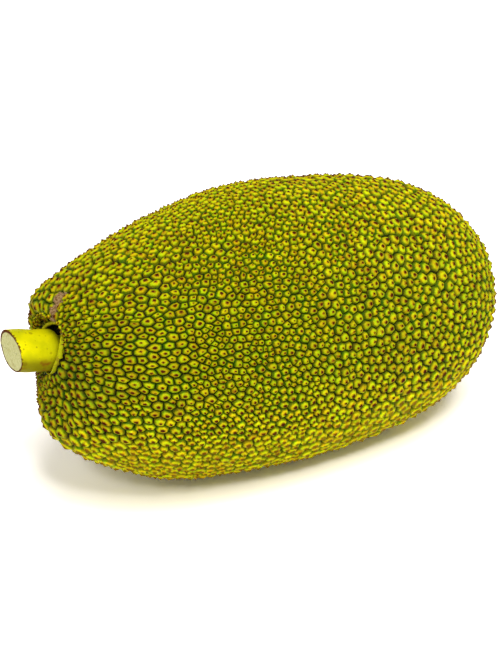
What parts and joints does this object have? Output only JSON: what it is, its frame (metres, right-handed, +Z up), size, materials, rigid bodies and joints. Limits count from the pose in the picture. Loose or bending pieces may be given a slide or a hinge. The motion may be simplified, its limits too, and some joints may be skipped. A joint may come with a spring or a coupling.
{
  "type": "jackfruit",
  "caption": "Whole ripe jackfruit lying on its side, a long blunt oval with a warty yellow-green rind, a smooth collar and a short cut stalk.",
  "frame": {"origin": "on the surface the fruit lies on, under the middle of the whole object", "axes": "+Z up, X along the fruit with the stalk towards -X and the blossom end towards +X"},
  "size_m": [0.406, 0.198, 0.2114],
  "materials": {
    "rind": "waxy",
    "stalk_skin": "smooth",
    "collar_skin": "smooth"
  },
  "bodies": {
    "root": {"fruit_body": "rind", "stalk": "stalk_skin", "stalk_collar": "collar_skin"}
  },
  "joints": []
}
